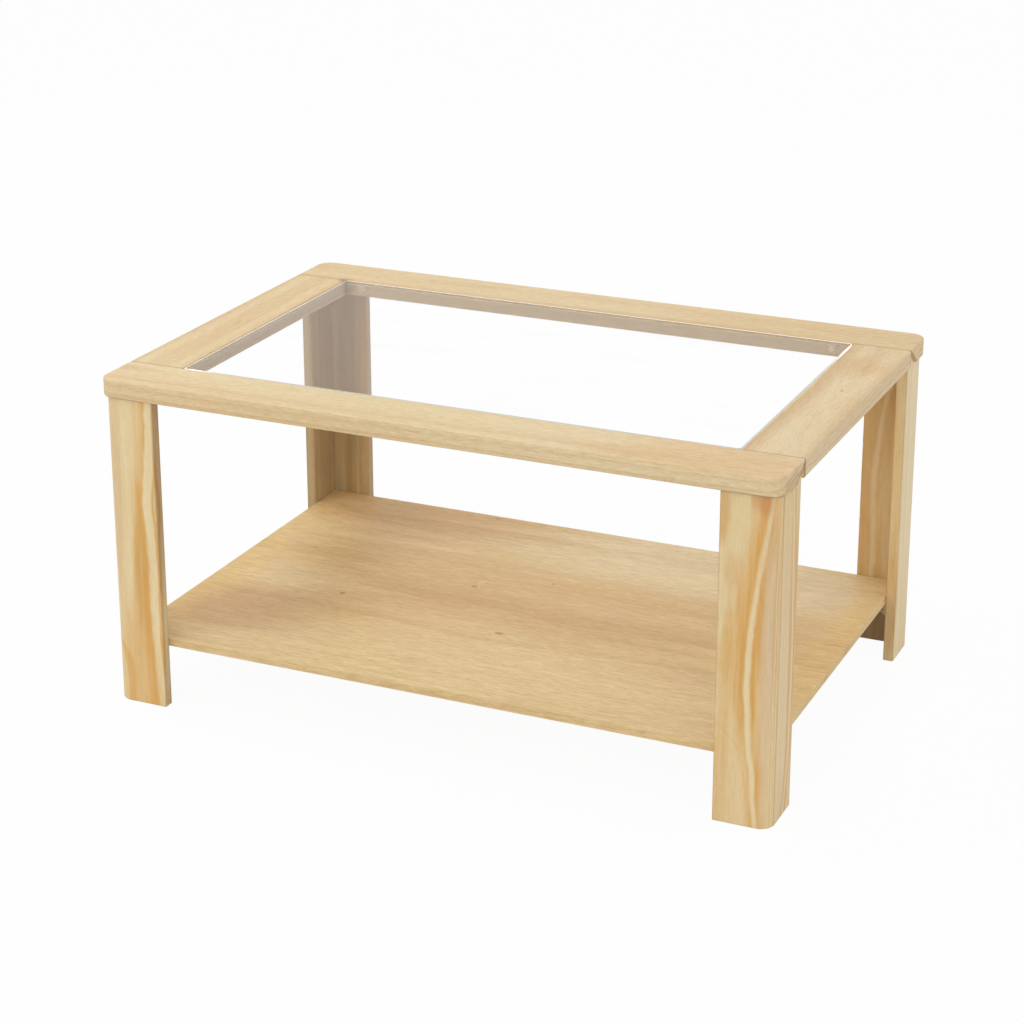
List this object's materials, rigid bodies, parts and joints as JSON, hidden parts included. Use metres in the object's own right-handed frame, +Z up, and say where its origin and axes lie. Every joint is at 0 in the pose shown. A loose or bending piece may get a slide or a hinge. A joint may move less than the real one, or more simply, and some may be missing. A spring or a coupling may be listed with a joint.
{
  "type": "coffee table",
  "caption": "Rectangular pine coffee table: a flush clear glass pane in a flat rail frame, L-section board legs with a haunch at the head, and a low full-size storage shelf.",
  "frame": {"origin": "on the floor, under the middle of the table top", "axes": "+X along the table's length to the right, +Y from the front to the rear, +Z up"},
  "size_m": [0.9, 0.6, 0.44],
  "materials": {
    "rail_pine": "clear satin lacquer on pine",
    "leg_pine": "clear satin lacquer on flame-grained pine",
    "shelf_pine": "clear satin lacquer on fine-grained pine",
    "block_pine": "planed pine, unfinished",
    "clear_glass": "clear float glass with polished edges",
    "pin_steel": "nickel-plated steel",
    "clear_pad": "clear soft plastic sleeve",
    "screw_steel": "zinc-plated steel",
    "dowel_beech": "plain beech dowel"
  },
  "bodies": {
    "root": {"block_screws": "screw_steel", "front_left_leg_front_board": "leg_pine", "front_left_leg_side_board": "leg_pine", "front_left_shelf_block": "block_pine", "front_rail": "rail_pine", "front_right_leg_front_board": "leg_pine", "front_right_leg_side_board": "leg_pine", "front_right_shelf_block": "block_pine", "glass_pads": "clear_pad", "glass_panel": "clear_glass", "glass_pins": "pin_steel", "left_rail": "rail_pine", "leg_head_dowels": "dowel_beech", "leg_side_dowels": "dowel_beech", "rail_joint_dowels": "dowel_beech", "rear_left_leg_rear_board": "leg_pine", "rear_left_leg_side_board": "leg_pine", "rear_left_shelf_block": "block_pine", "rear_rail": "rail_pine", "rear_right_leg_rear_board": "leg_pine", "rear_right_leg_side_board": "leg_pine", "rear_right_shelf_block": "block_pine", "right_rail": "rail_pine", "shelf_panel": "shelf_pine", "shelf_screws": "screw_steel"}
  },
  "joints": []
}
